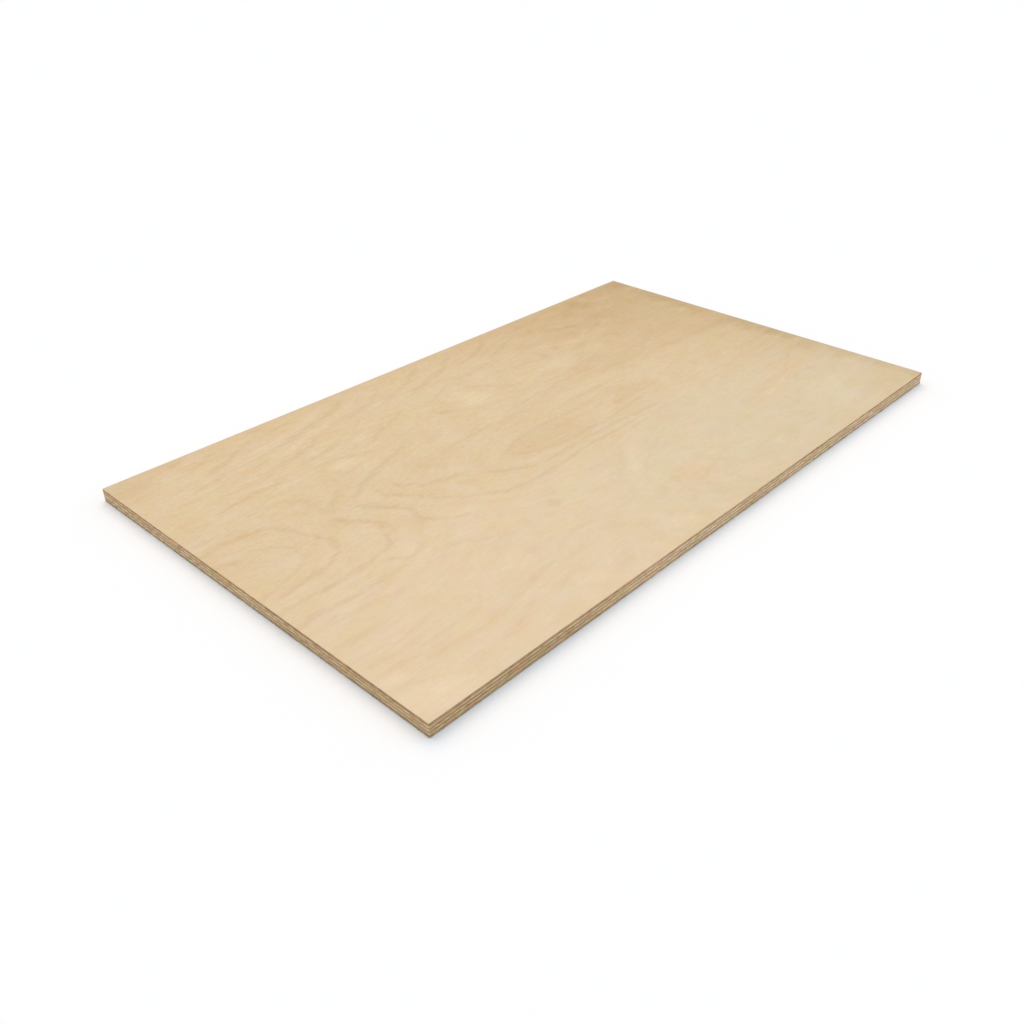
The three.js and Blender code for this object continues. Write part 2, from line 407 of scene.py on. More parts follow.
# The clearest ring lines: how far they reach to each side, how dark they are, and the points they
# run through.
ringStrokes = [
    (3.8, -0.075, (-506, 50), (-484, 46), (-472, 36)),
    (3.4, -0.07, (-455, 49), (-432, 38), (-418, 20), (-417, -4), (-438, -19), (-470, -29),
     (-500, -37)),
    (4.2, -0.09, (-505, 79), (-475, 82), (-446, 80), (-412, 73), (-394, 52)),
    (3.8, -0.08, (-404, 58), (-392, 30), (-378, 2), (-384, -22), (-408, -37), (-448, -43),
     (-485, -50)),
    (4.4, -0.05, (-372, 112), (-350, 90), (-345, 62), (-350, 44)),
    (4.8, -0.1, (-354, 36), (-336, 10), (-322, -8), (-317, -26)),
    (4.0, -0.08, (-331, -38), (-336, -56), (-372, -66), (-420, -71), (-460, -70), (-502, -72)),
    (4.2, -0.085, (-505, -101), (-470, -99), (-430, -103), (-360, -100)),
    (4.4, -0.06, (-365, -76), (-342, -91), (-322, -90), (-310, -80)),
    (4.2, -0.065, (-303, 82), (-322, 66), (-342, 46)),
    (5.0, -0.085, (-304, 50), (-285, 65), (-273, 72), (-261, 76), (-236, 87)),
    (3.8, -0.08, (-236, 87), (-205, 98), (-175, 109)),
    (4.0, -0.085, (-316, 38), (-301, 21), (-289, 5), (-278, -9), (-273, -22), (-279, -42),
     (-263, -62), (-230, -83)),
    (2.6, -0.05, (-301, 33), (-294, 21)), (4.6, -0.08, (-274, 52), (-273, 32), (-266, 20)),
    (3.8, -0.08, (-268, 24), (-248, -2), (-236, -18), (-222, -32), (-208, -48), (-185, -62),
     (-164, -74)),
    (3.4, -0.07, (-164, -74), (-115, -80), (-60, -78), (-20, -73), (45, -74), (100, -74)),
    (3.8, -0.075, (-252, 42), (-241, 28), (-231, 19), (-222, 10), (-190, 2), (-166, -4)),
    (5.2, -0.06, (-198, 48), (-182, 33), (-172, 30)), (6.0, -0.05, (-193, -14), (-174, -30)),
    (3.8, -0.065, (-155, -22), (-118, -46), (-98, -57), (-60, -60), (-10, -58), (75, -60),
     (120, -62), (150, -66)),
    (3.6, -0.055, (-166, 51), (-140, 60), (-92, 61), (-30, 61), (30, 57)),
    (3.4, -0.05, (-5, 76), (34, 79), (57, 83), (79, 79), (96, 84), (135, 86), (190, 82)),
    (3.6, -0.05, (-104, -8), (-62, 5), (0, 10), (80, 8), (170, 0)),
    (2.6, -0.065, (-86, -22), (-62, -38), (-20, -43), (30, -43), (75, -44), (110, -40), (168, -32)),
    (3.8, -0.06, (-320, -122), (-296, -108), (-278, -113), (-262, -126), (-250, -135)),
    (3.4, -0.055, (-500, -120), (-450, -123), (-408, -127), (-380, -134)),
    # towards the near corner
    (3.4, -0.028, (-500, -183), (-480, -184), (-452, -190), (-440, -195)),
    (3.0, -0.031, (-500, -200), (-470, -203), (-440, -209), (-415, -216), (-385, -216),
     (-350, -212), (-320, -182)),
    (3.9, -0.028, (-490, -224), (-455, -223), (-420, -236), (-365, -240), (-320, -230),
     (-290, -223), (-265, -218)),
    (3.4, -0.031, (-495, -242), (-465, -255), (-430, -273)),
    (3.4, -0.028, (-350, -264), (-318, -251), (-300, -245)),
    (3.4, -0.025, (-320, -207), (-290, -206), (-260, -203)),
    (3.4, -0.037, (-280, -220), (-265, -217), (-250, -216), (-220, -221), (-208, -224),
     (-190, -220)),
    (3.0, -0.031, (-215, -180), (-190, -187), (-170, -191), (-150, -193)),
    (3.0, -0.028, (-130, -194), (-124, -202), (-105, -207), (-90, -202), (-70, -197)),
    (3.0, -0.025, (-192, -94), (-175, -96), (-155, -96)),
    (3.4, -0.022, (-200, -128), (-185, -125), (-173, -118)),
    (4.8, -0.031, (-150, -218), (-130, -225), (-118, -238), (-105, -250)),
    (5.3, -0.034, (-120, -255), (-115, -270), (-117, -280)),
    (5.3, -0.031, (-50, -157), (-35, -153), (-20, -140), (-10, -128), (5, -115), (15, -107)),
    (4.6, -0.031, (-50, -160), (-53, -175), (-60, -185), (-67, -193)),
    (3.4, -0.031, (-30, -195), (-25, -180), (-10, -167), (5, -157), (45, -140), (70, -130)),
    # the near side, to the right
    (3.0, -0.045, (20, -234), (45, -228), (70, -221)),
    (2.2, -0.035, (45, -201), (60, -199), (80, -197), (100, -195)),
    (4.0, -0.04, (50, -245), (53, -265), (56, -280), (62, -292)),
    (2.2, -0.045, (235, -255), (260, -256), (285, -258)),
    (2.4, -0.03, (0, -94), (30, -90), (50, -86), (75, -84), (120, -82)),
    (2.6, -0.045, (275, -87), (290, -84), (330, -81), (350, -83)),
    (2.6, -0.04, (400, -81), (425, -78), (450, -78), (465, -86)),
    (2.6, -0.045, (485, -86), (425, -115), (400, -128), (380, -137), (370, -143)),
    (3.0, -0.035, (355, -170), (370, -160), (395, -162), (410, -172)),
    (3.4, -0.035, (370, -63), (385, -53), (400, -42)),
    (4.0, -0.045, (225, 0), (245, -25), (262, -32)),
    (2.2, 0.04, (335, -157), (360, -150), (385, -142)),
    (2.4, 0.045, (335, -60), (355, -45), (368, -30)),
    (2.0, 0.035, (-20, -78), (30, -79), (80, -78), (110, -78)),
    # the far side, where they climb to the right
    (3.6, -0.056, (-386, 215), (-348, 220), (-310, 223)),
    (4.2, -0.082, (-310, 223), (-281, 227), (-243, 238), (-207, 247), (-193, 254), (-167, 263),
     (-148, 279)),
    (3.8, -0.052, (-336, 183), (-293, 189)),
    (4.0, -0.073, (-293, 189), (-271, 194), (-255, 199), (-244, 210)),
    (3.6, -0.052, (-244, 210), (-214, 217), (-183, 229)),
    (4.2, -0.077, (-183, 229), (-148, 233), (-121, 238)), (4.0, -0.052, (-121, 238), (-100, 256)),
    (4.0, -0.073, (-295, 165), (-264, 169), (-236, 176)),
    (4.0, -0.073, (-390, 235), (-362, 242), (-336, 256), (-300, 273)),
    (3.6, -0.043, (-450, 219), (-407, 228)),
    (3.6, -0.065, (-429, 251), (-405, 255), (-376, 268), (-362, 279)),
    (3.6, -0.06, (-429, 205), (-400, 211), (-386, 214)),
    (3.2, -0.043, (-414, 192), (-376, 195), (-343, 201)),
    (4.0, -0.039, (-386, 171), (-357, 176), (-336, 174)),
    (3.8, -0.056, (-440, 138), (-410, 147), (-376, 150), (-338, 147)),
    (4.0, -0.052, (-300, 148), (-271, 143), (-255, 143)),
    (4.2, -0.069, (-255, 143), (-229, 131), (-215, 127)), (3.6, -0.039, (-231, 148), (-212, 143)),
    (4.4, -0.065, (-193, 148), (-176, 160), (-160, 172)),
    (4.0, -0.073, (-148, 171), (-124, 182), (-112, 189)), (3.4, -0.039, (-207, 181), (-176, 183)),
    (4.0, -0.052, (-290, 124), (-269, 107)),
    (5.0, -0.06, (-293, 291), (-274, 280), (-260, 273), (-235, 274)),
    (5.0, -0.052, (-476, 281), (-466, 262)), (3.4, -0.043, (-421, 112), (-393, 110), (-367, 110)),
    (3.2, -0.034, (-343, 110), (-310, 109)), (4.2, -0.043, (-102, 229), (-81, 236), (-50, 250)),
    (4.4, -0.077, (-50, 250), (-26, 264), (-5, 280)),
    (4.2, -0.073, (-71, 215), (-38, 227), (-7, 236), (19, 243)),
    (4.4, -0.077, (19, 243), (38, 262), (64, 277)), (4.2, -0.069, (45, 240), (74, 246), (105, 256)),
    (4.4, -0.086, (105, 256), (129, 270), (138, 282)),
    (3.8, -0.06, (107, 229), (136, 233), (159, 246)),
    (4.0, -0.06, (-69, 174), (-45, 186), (-17, 198)),
    (4.0, -0.043, (-17, 198), (31, 202), (66, 208), (93, 212)),
    (4.0, -0.052, (-10, 168), (17, 146)), (4.2, -0.052, (2, 175), (14, 162), (38, 147)),
    (5.0, -0.047, (50, 140), (53, 124)), (4.0, -0.039, (67, 184), (76, 174)),
    (3.8, -0.039, (119, 160), (138, 176)), (4.4, -0.043, (-55, 168), (-55, 152)),
    (5.0, -0.052, (-83, 148), (-52, 124)), (4.4, -0.039, (138, 211), (169, 212), (190, 207)),
    (4.6, -0.056, (212, 147), (231, 148), (248, 156)),
    (5.0, -0.052, (152, 99), (182, 105), (205, 98)),
    (5.4, -0.086, (243, 227), (267, 217), (287, 208)), (4.4, -0.052, (233, 231), (250, 240)),
    (4.4, -0.065, (302, 248), (326, 252)), (4.6, -0.06, (335, 201), (345, 215)),
    (4.6, -0.073, (430, 204), (446, 222)), (4.4, -0.043, (433, 236), (450, 246)),
    (5.0, -0.06, (420, 283), (430, 268)), (3.4, -0.043, (350, 145), (362, 152)),
    (5.4, -0.052, (283, 155), (303, 139), (318, 133)),
    (3.2, -0.039, (397, 123), (424, 140), (452, 148)), (4.0, -0.043, (264, 283), (268, 270)),
    (2.4, -0.047, (-64, 107), (-50, 105), (-38, 103)), (2.2, -0.034, (-36, 112), (-19, 110)),
    # and the pale wood between them
    (5.0, 0.05, (-326, 233), (-293, 243), (-252, 252), (-214, 264), (-181, 281)),
    (5.0, 0.055, (-295, 205), (-260, 218), (-219, 230), (-181, 244), (-138, 262)),
    (4.4, 0.035, (-45, 233), (-17, 248), (17, 257)),
    (4.2, 0.04, (255, 167), (274, 183), (293, 195)), (2.6, 0.04, (364, 110), (388, 118)),
    (3.4, 0.05, (462, 119), (484, 126)), (2.2, 0.04, (51, 90), (96, 94), (132, 91)),
    (2.2, 0.035, (90, 104), (124, 107)),
]

clearLines = {     # where the other ring lines show, and how clearly
    "leftLoop": {"centre": (-235, 10), "reach": (75, 75), "amount": 0.3},
    "eye": {"centre": (60, -15), "reach": (200, 40), "amount": 0.3},
    "nearCorner": {"centre": (-330, -200), "reach": (190, 75), "amount": 0.3},
}

facePatches = {     # each one leans towards its tint by its share
    # the darker back corner, right end and far rims and the paler front left are partly the wood's
    # own tone and partly painted light falloff
    "backCorner": {"centre": (470, 290), "reach": (330, 190),
                   "tint": "#bf9c68", "share": 0.72, "turn": -12},
    "rightEnd": {"centre": (520, 60), "reach": (150, 330), "tint": "#cbb083", "share": 0.62},
    "rightRim": {"centre": (512, 60), "reach": (34, 330),
                 "tint": "#af905c", "share": 0.55, "softness": 0.8},
    "backRim": {"centre": (0, 305), "reach": (560, 50),
                "tint": "#cba974", "share": 0.28, "softness": 0.8},
    "upperBand": {"centre": (330, 82), "reach": (260, 38),
                  "tint": "#ceaf82", "share": 0.35, "softness": 0.5},
    "eyeHeart": {"centre": (-30, -16), "reach": (80, 25),
                 "tint": "#cdaa79", "share": 0.27, "softness": 0.6},
    "eyeTail": {"centre": (148, -16), "reach": (45, 17),
                "tint": "#d0ad7c", "share": 0.2, "softness": 0.6},
    "frontLeft": {"centre": (-330, -230), "reach": (300, 200), "tint": "#e9d2b5", "share": 0.38},
    "paleFlank": {"centre": (200, -200), "reach": (330, 120), "tint": "#d9c8a7", "share": 0.65},
    "pinkPatch": {"centre": (40, -216), "reach": (40, 22),
                  "tint": "#e2bd92", "share": 0.4, "turn": 20},
    "pinkStreak": {"centre": (345, -148), "reach": (95, 18),
                   "tint": "#dfb98e", "share": 0.4, "turn": 12},
    "palePatch": {"centre": (367, -230), "reach": (90, 50),
                  "tint": "#ded1af", "share": 0.3, "softness": 0.9},
}

# x, y, reach along and across, turn, and how much lighter or darker
lightFlecks = [
    (-19, 146, 25, 20, -40, 0.085), (-256, 124, 22, 9, 0, 0.1), (-345, 136, 30, 4, 0, 0.055),
    (-377, 117, 20, 3, 0, 0.03), (-366, 160, 17, 4, 0, 0.055), (-205, 112, 14, 6, 0, 0.045),
    (-114, 262, 15, 5, 25, 0.07), (-446, 213, 10, 4, 0, 0.05), (-200, 164, 12, 8, 0, 0.07),
    (-30, 95, 45, 5, 0, 0.03), (235, 171, 16, 8, 0, 0.065), (303, 169, 18, 6, 0, 0.06),
    (244, 132, 22, 10, 0, 0.03), (132, 132, 20, 10, 0, 0.03), (118, 182, 15, 8, 0, 0.035),
    (340, 189, 9, 4, 0, 0.075), (307, 222, 10, 9, 0, 0.035), (350, 242, 14, 6, -20, 0.045),
    (375, 234, 12, 7, 40, 0.05), (393, 224, 9, 6, 0, 0.055), (302, 276, 9, 7, 0, 0.05),
    (190, 189, 11, 5, 0, 0.05), (179, 240, 10, 8, 30, 0.04), (383, 276, 8, 6, 0, 0.04),
    (408, 260, 16, 7, -20, 0.055), (435, 97, 14, 7, -45, 0.04), (390, 22, 20, 12, 0, 0.03),
    (90, 45, 75, 8, 0, 0.025), (85, -25, 25, 9, 20, 0.05), (410, -15, 60, 22, 25, 0.03),
    (-470, -57, 30, 7, 0, 0.03), (-340, -75, 20, 12, -25, 0.04), (-238, -70, 30, 10, -35, 0.03),
    (-465, -278, 40, 20, -20, 0.08), (-482, -233, 12, 8, 0, 0.06), (-272, -188, 16, 10, 0, 0.035),
    (-232, -267, 14, 8, -30, 0.045), (-257, -285, 10, 10, 0, 0.045), (-80, -268, 22, 9, 0, 0.035),
    (-62, -278, 8, 8, 0, 0.045), (-110, -118, 35, 12, 35, 0.03), (15, -125, 50, 12, 42, 0.03),
    (-10, -150, 22, 5, 45, 0.03), (172, -255, 7, 6, 0, 0.05), (80, -263, 13, 9, 0, 0.03),
    (85, -207, 12, 5, 0, 0.03), (385, -213, 28, 11, 20, 0.045), (362, -240, 22, 8, 35, 0.03),
    (350, -262, 36, 9, 15, 0.03), (295, -164, 13, 4, 0, 0.045), (190, -110, 30, 14, 0, 0.025),
    (-285, 40, 14, 10, 0, 0.03), (225, -10, 16, 18, 0, 0.02), (190, -76, 16, 5, 0, 0.025),
    (255, 255, 55, 40, 0, 0.043), (0, -190, 130, 90, 0, 0.02),
]

darkStreaks = [
    (-478, 272, 28, 26, 0, -0.08), (-414, 288, 9, 7, 0, -0.07), (-75, 140, 18, 10, -35, -0.035),
    (162, 164, 8, 11, 0, -0.09), (200, 174, 8, 5, 0, -0.07), (118, 228, 8, 3, 0, -0.055),
    (218, 273, 6, 5, 0, -0.085), (190, 275, 6, 5, 0, -0.08), (218, 249, 5, 6, 0, -0.075),
    (359, 277, 14, 15, -20, -0.125), (372, 256, 13, 6, 10, -0.1), (484, 292, 55, 26, 0, -0.13),
    (402, 291, 9, 6, 0, -0.07), (456, 212, 10, 5, 0, -0.06), (280, 212, 12, 6, -20, -0.04),
    (320, 189, 10, 4, 0, -0.075), (307, 145, 6, 12, 0, -0.03), (354, 103, 8, 4, 0, -0.05),
    (230, 84, 6, 3, 0, -0.045), (267, 83, 6, 3, 0, -0.045), (286, 83, 6, 3, 0, -0.045),
    (303, 83, 6, 3, 0, -0.045), (380, 86, 10, 3, 0, -0.035), (420, 72, 10, 4, 0, -0.03),
    (185, 97, 28, 6, 10, -0.025), (212, 62, 38, 9, 0, -0.03), (320, 52, 40, 5, 0, -0.03),
    (430, 44, 35, 7, 0, -0.055), (350, 43, 110, 4, 0, -0.025), (110, 32, 42, 4, 0, -0.055),
    (300, -19, 8, 8, 30, -0.06), (116, -20, 8, 9, 0, -0.06), (155, -10, 20, 10, -30, -0.02),
    (195, -15, 10, 16, 30, -0.03), (480, -30, 14, 26, 0, -0.05), (472, -130, 10, 18, 0, -0.05),
    (456, -157, 16, 6, 0, -0.06), (405, -168, 8, 9, -50, -0.05), (452, -275, 12, 14, 0, -0.05),
    (490, -240, 12, 60, 0, -0.05), (-468, -158, 32, 5, 0, -0.055), (-235, -138, 12, 9, 0, -0.05),
    (-202, -142, 6, 5, 0, -0.05), (-185, -146, 12, 3, 0, -0.04), (-148, -135, 7, 9, 0, -0.085),
    (-134, -120, 8, 3, 15, -0.06), (-165, -149, 12, 4, 0, -0.03), (-55, -115, 5, 4, 0, -0.065),
    (-42, -116, 5, 4, 0, -0.06), (-235, -185, 10, 9, 0, -0.05), (-262, -248, 10, 5, 0, -0.045),
    (-170, -270, 8, 4, 30, -0.035), (-190, -273, 16, 10, 30, -0.035), (-37, -212, 7, 10, 0, -0.045),
    (-2, -210, 6, 7, 0, -0.055), (-10, -240, 6, 12, 0, -0.055), (-20, -232, 6, 4, 0, -0.04),
    (-62, -218, 14, 6, -10, -0.03), (-28, -255, 6, 4, 30, -0.045), (12, -257, 10, 18, 0, -0.045),
    (125, -172, 20, 10, -10, -0.03), (140, -245, 20, 7, 0, -0.02), (148, -221, 5, 3, 0, -0.05),
    (184, -100, 14, 3, 0, -0.035), (272, -102, 16, 3, 0, -0.035), (285, -154, 14, 4, 0, -0.06),
    (265, -238, 10, 8, -30, -0.065), (205, -250, 14, 9, -30, -0.045),
    (268, -205, 20, 9, -20, -0.03), (290, -205, 5, 18, 0, -0.03), (430, -245, 120, 70, 0, -0.03),
    (30, 210, 150, 100, 0, -0.014), (430, 240, 60, 40, 0, -0.018), (250, 50, 150, 50, 0, -0.009),
]


def makeFaceFigure():
    made, tree, shader = newMaterial("faceFigure")
    x, y, z = sheetPlace(tree)
    plus, minus, times, over, timesPlus = sumsOf(tree, "ADD", "SUBTRACT", "MULTIPLY", "DIVIDE",
                                                 "MULTIPLY_ADD")
    figure, amounts = faceFigure, faceFigure["amounts"]
    noise, swung = figureNoises(tree, figure, x, y, z)

    # the rings wander a little, and their lines are ragged
    wanders = {name: noise(name) for name in ("drift", "shiver", "ragged")}
    ring = ringsOver(tree, x, y, figure["hills"])
    for name, value in wanders.items():
        ring = swing(tree, value, amounts[name], ring)
    lines = ringLines(tree, ring, figure["ringOffset"], figure["lineWidth"])

    # the lines are clear round the left loop and the eye, and come and go along their way
    spot = point(tree, x, y, 1.0)
    clear = figure["lineEverywhere"]
    for place in clearLines.values():
        clear = calc(tree, "MAXIMUM", addPatch(tree, spot, **place, softness=0.5), clear)
    lines = times(lines, times(clear, ramp(tree, noise("breaks"), *figure["lineBreaks"])))

    # broad tones and small marks, with outlines that waver along the grain
    broadSpot = point(tree, swung("waver", x), swung("waverAcross", y), 1.0)
    colour = leanTowards(tree, broadSpot, fromHex(figure["base"]), facePatches)
    markSpot = point(tree, swung("shake", x), swung("shakeAcross", y), 1.0)

    # clouds, streaks that follow the rings, streaks of fibre, and short dark vessels
    clouds, grit, yellow, pink = (noise(name) for name in ("clouds", "grit", "yellow", "pink"))

    def alongRings(reach, perRing, detail, roughness):
        inRings = point(tree, over(x, reach), over(y, reach), times(ring, perRing))
        return noiseAt(tree, "3D", inRings, detail, roughness)

    flow, strands = alongRings(*figure["flow"]), alongRings(*figure["strands"])
    streak, fibre = noise("streak"), noise("fibre")
    vessels = ramp(tree, noise("vessels"), *figure["vesselShows"])
    broadTone = times(swing(tree, flow, amounts["flow"], swing(tree, clouds, amounts["clouds"])),
                      ramp(tree, y, *figure["broadAcross"]))
    broadTone = timesPlus(lines, -figure["lineDepth"], broadTone)
    # the wood's figure is coarser and clearer towards the far side
    coarse = ramp(tree, y, *figure["gritAcross"])
    ribs = times(swung("ribs"), ramp(tree, y, *figure["ribsAcross"]))
    fineTone = timesPlus(swing(tree, grit, amounts["grit"]), coarse, ribs)
    for name, value in (("strands", strands), ("streak", streak), ("fibre", fibre)):
        fineTone = swing(tree, value, amounts[name], fineTone)
    fineTone = timesPlus(vessels, amounts["vessels"], fineTone)
    # painted shade darkens the face along its two far sides, and a grey tint there is partly dust
    # and partly painted sheen
    toRim = calc(tree, "MINIMUM", minus(halfLength, x), minus(halfWidth, y))
    fineTone = plus(ramp(tree, toRim, *figure["rimPaintedShade"]), fineTone)
    colour = tinted(tree, colour, broadTone, figure["broadLean"])
    colour = tinted(tree, colour, fineTone, figure["fineLean"])
    colour = tinted(tree, colour, swing(tree, yellow, amounts["yellow"]), figure["yellowLean"])
    colour = tinted(tree, colour, swing(tree, pink, amounts["pink"]), figure["pinkLean"])
    # partly dust and partly painted sheen: paler and greyer towards the two far sides
    dustAndSheenShare = ramp(tree, toRim, *figure["rimDustAndSheen"])

    roughness = ramp(tree, fibre, *figure["roughness"], smooth=False)
    roughness = timesPlus(vessels, figure["vesselDulls"], roughness)
    bump = woodRelief(tree, figure, vessels, fibre)

    # every panel has only its own lines and marks, so the others cost no render time there
    strokes = [mark for stroke in ringStrokes for mark in strokeMarks(stroke)]
    threads = ramp(tree, noise("threads"), *figure["threadStrength"], smooth=False)
    span = 2 * halfLength / figure["markPanels"]
    tree.nodes.remove(shader)

    def drawn(name, marks, low):
        group = markGroup(name, marksBetween(marks, low, low + span))
        return addNode(tree, "ShaderNodeGroup", {"Spot": markSpot}, node_tree=group).outputs[0]

    panels = None
    for place in reversed(range(figure["markPanels"])):
        low = place * span - halfLength
        marks = drawn(f"marks{place + 1}", lightFlecks + darkStreaks, low)
        tone = timesPlus(drawn(f"strokes{place + 1}", strokes, low), threads, marks)
        wood = tinted(tree, colour, tone, figure["markLean"])
        wood = blend(tree, dustAndSheenShare, wood, fromHex(figure["dustAndSheen"]))
        panel = addNode(tree, "ShaderNodeBsdfPrincipled",
                        {"Base Color": wood, "Roughness": roughness, "Normal": bump}).outputs[0]
        if panels is None:
            panels = panel
            continue
        beyond = calc(tree, "GREATER_THAN", x, low + span)
        panels = addNode(tree, "ShaderNodeMixShader", {0: beyond, 1: panel, 2: panels}).outputs[0]
    tree.links.new(panels, tree.nodes["Material Output"].inputs["Surface"])
    return made


backFigure = {
    "base": "#dcc399",
    "hills": {
        "longPeak": {"centre": (-140, 60), "crest": (200, 60), "ringAlong": (90, 60),
                     "ringAcross": (26, 20), "bluntness": (1.6, 2.0), "top": 0.0},
        "farPeak": {"centre": (380, -120), "crest": (40, 60), "ringAlong": (60, 80),
                    "ringAcross": (22, 30), "bluntness": (2.0, 1.7), "top": -3.2, "join": 1.6},
        "plainSide": {"centre": (0, -330), "crest": (1000, 1000), "ringAlong": (60, 60),
                      "ringAcross": (34, 60), "bluntness": (2.0, 2.0), "top": -7.0, "join": 2.0},
    },
    "ringOffset": 0.1,
    "lineWidth": 0.3,
    "lineDepth": 0.07,
    "noises": {
        "drift": ((160, 30), 63.3), "ragged": ((14, 3), 65.2, 2.0), "breaks": ((70, 24), 71.6),
        "waver": ((100, 26), 73.4), "clouds": ((64, 38), 77.7, 5.0, 0.85),
        "streak": ((38, 1.8), 78.2, 2.0), "fibre": ((30, 0.6), 79.9, 2.0, 0.7),
        "vessels": ((2.6, 0.16), 83.1, 1.0),
    },
    "amounts": {"drift": 0.9, "ragged": 0.3, "clouds": 0.26, "streak": 0.06, "fibre": 0.05,
                "vessels": -0.08},
    "wavers": (80.0, 60.0),
    "lineBreaks": (0.36, 0.62, 0.15, 1.0),
    "vesselShows": (0.66, 0.76),
    "roughness": (0.2, 0.8, 0.55, 0.7),
    "heights": {"vessels": -0.6, "fibre": 0.6},
    "relief": (0.5, 0.04),
}

backPatches = {
    "tanEnd": {"centre": (-450, 120), "reach": (200, 160),
               "tint": "#cdac7e", "share": 0.5, "turn": 15},
    "brownStreak": {"centre": (90, -70), "reach": (330, 16),
                    "tint": "#c79d69", "share": 0.45, "turn": 3},
    "paleSide": {"centre": (260, 190), "reach": (260, 90), "tint": "#e6d4b0", "share": 0.5},
}


def makeBackFigure():
    made, tree, shader = newMaterial("backFigure")
    x, y, z = sheetPlace(tree)
    times, timesPlus = sumsOf(tree, "MULTIPLY", "MULTIPLY_ADD")
    figure, amounts = backFigure, backFigure["amounts"]
    noise, swung = figureNoises(tree, figure, x, y, z)
    ring = swung("ragged", swung("drift", ringsOver(tree, x, y, figure["hills"])))
    lines = times(ringLines(tree, ring, figure["ringOffset"], figure["lineWidth"]),
                  ramp(tree, noise("breaks"), *figure["lineBreaks"]))
    waver = noise("waver")
    spot = point(tree, *(swing(tree, waver, amount, place)
                         for amount, place in zip(figure["wavers"], (x, y))), 1.0)
    colour = leanTowards(tree, spot, fromHex(figure["base"]), backPatches)
    fibre = noise("fibre")
    vessels = ramp(tree, noise("vessels"), *figure["vesselShows"])
    tone = swung("streak", swung("clouds", times(lines, -figure["lineDepth"])))
    tone = swing(tree, fibre, amounts["fibre"], tone)
    tone = timesPlus(vessels, amounts["vessels"], tone)
    colour = tinted(tree, colour, tone, faceFigure["broadLean"])
    dress(tree, shader, colour, ramp(tree, fibre, *figure["roughness"], smooth=False),
          woodRelief(tree, figure, vessels, fibre))
    return made


# The sawn edge of one kind of veneer. Where the saw ran along the fibres it left streaks, and where
# it ran across them it left open pores, ring lines that follow the glue lines, and the small checks
# of the knife. The stripe is how much paler a band is on the ends and far from the near corner.
# Uneven is a stretch up the ends whose veneers differ from the others, and by how much.
longBandEdge = {"name": "longBandEdge", "longGrain": "#f1d3aa", "endGrain": "#e5c699",
                "dark": "#a98258", "grainAlongX": True, "seed": 0.0, "stripe": 0.09,
                "uneven": (0.0, 1.0, 5.8, 8.0, -0.09)}
crossbandEdge = {"name": "crossbandEdge", "longGrain": "#c29a6b", "endGrain": "#d1a878",
                 "dark": "#7d5a38", "grainAlongX": False, "seed": 40.0, "stripe": -0.08,
                 "uneven": (3.7, 5.9, 12.1, 14.3, 0.17)}
outerEdge = {"name": "outerEdge", "longGrain": "#d4b084", "endGrain": "#caa173", "dark": "#7d5a38",
             "grainAlongX": True, "seed": 80.0, "stripe": 0.0, "uneven": (0.0, 1.0, 5.8, 8.0, 0.0)}

sawnEdge = {     # what the edges of all the veneers share
    "sideGap": 0.21,     # keeps the noises of the four sides apart
    "noises": {     # sizes along the edge and up it, seed, detail and roughness
        "streaks": ((16, 0.35), 1.0, 3.0, 0.65), "flecks": ((5, 0.14), 2.0, 1.0),
        "pores": ((0.3, 0.26), 3.0, 1.0), "ringDrift": ((40, 3.0), 4.0, 2.0),
        "checks": ((0.9, 9.0), 5.0, 0.0), "patches": ((70, 2.5), 6.0),
        "blotches": ((8, 1.7), 7.0, 2.0), "wide": ((170, 3.5), 14.0, 1.0),
        "paleFibresAndGlints": ((18, 0.3), 12.0, 1.0), "gaps": ((6, 1.1), 9.0, 1.0),
        "saw": ((0.5, 14.0), 11.0, 2.0),
    },
    "amounts": {"streaks": 0.34, "flecks": -0.10, "pores": -0.12, "rings": -0.10, "checks": -0.4,
                "patches": 0.4, "blotches": 1.0, "wide": 0.5, "paleFibresAndGlints": 0.14},
    "shows": {"flecks": (0.6, 0.74), "pores": (0.6, 0.72), "rings": (0.72, 0.98),
              "checks": (0.72, 0.8), "paleFibresAndGlints": (0.6, 0.75), "gaps": (0.72, 0.77)},
    "ringsPerNoise": 5.0,
    "ringsPerVeneer": 1.3,
    "checkSlant": 0.55,
    "checkDepth": (0.2, 0.75, 1.0, 0.0),     # up the veneer, from its underside
    "evenAway": -0.62,     # the two sides away from the near corner are sawn cleaner and evener
    # from, to, and the values there: millimetres round the edge from the near corner
    "coarser": (0.0, 900.0, 1.3, 2.4),
    "wider": (0.0, 900.0, 0.4, 3.3),
    "burnt": (150.0, 330.0, -0.22, 0.0),
    "clearer": (200.0, 900.0, 0.0, 1.0),
    "dimmer": ((300.0, 900.0, 0.0, -0.02), (760.0, 920.0, 0.0, -0.08)),
    # how much more of each there is on the two ends
    "endCoarser": 0.6,
    "endBurnt": -0.6,
    "endClearer": 0.4,
    "toneLean": (0.8, 1.0, 1.28),
    "hueSizes": (12, 8),
    "hues": ((13.0, 0.3, (1.0, -0.6, 0.0)),     # seed, amount and lean
             (17.0, 0.66, (0.0, -0.15, 1.0))),
    # painted light from the floor's bounce, near the bottom of the edges
    "paintedFloorBounce": ((2.0, 6.0, 1.0, 0.0), (0.07, 0.14, 0.24)),     # millimetres up, and its lean
    "endLowerTint": ((4.0, 11.0, 1.0, 0.0), (-0.03, 0.02, 0.1)),
    "soaked": (0.12, 0.88, 0.35),     # in a veneer below and above these shares, and how dark
    "gap": (0.7, "#4b3321"),
    # painted contact shade along the foot of the edges
    "paintedContactShade": ((0.1, 0.8, 0.75, 0.0), "#4f3b29"),
    "roughness": (0.2, 0.8, 0.72, 0.86),
    "relief": (0.6, 0.12),
    "heights": {"pores": -0.6, "saw": 0.6, "checks": -1.5, "streaks": 0.5, "gaps": -2.0},
}


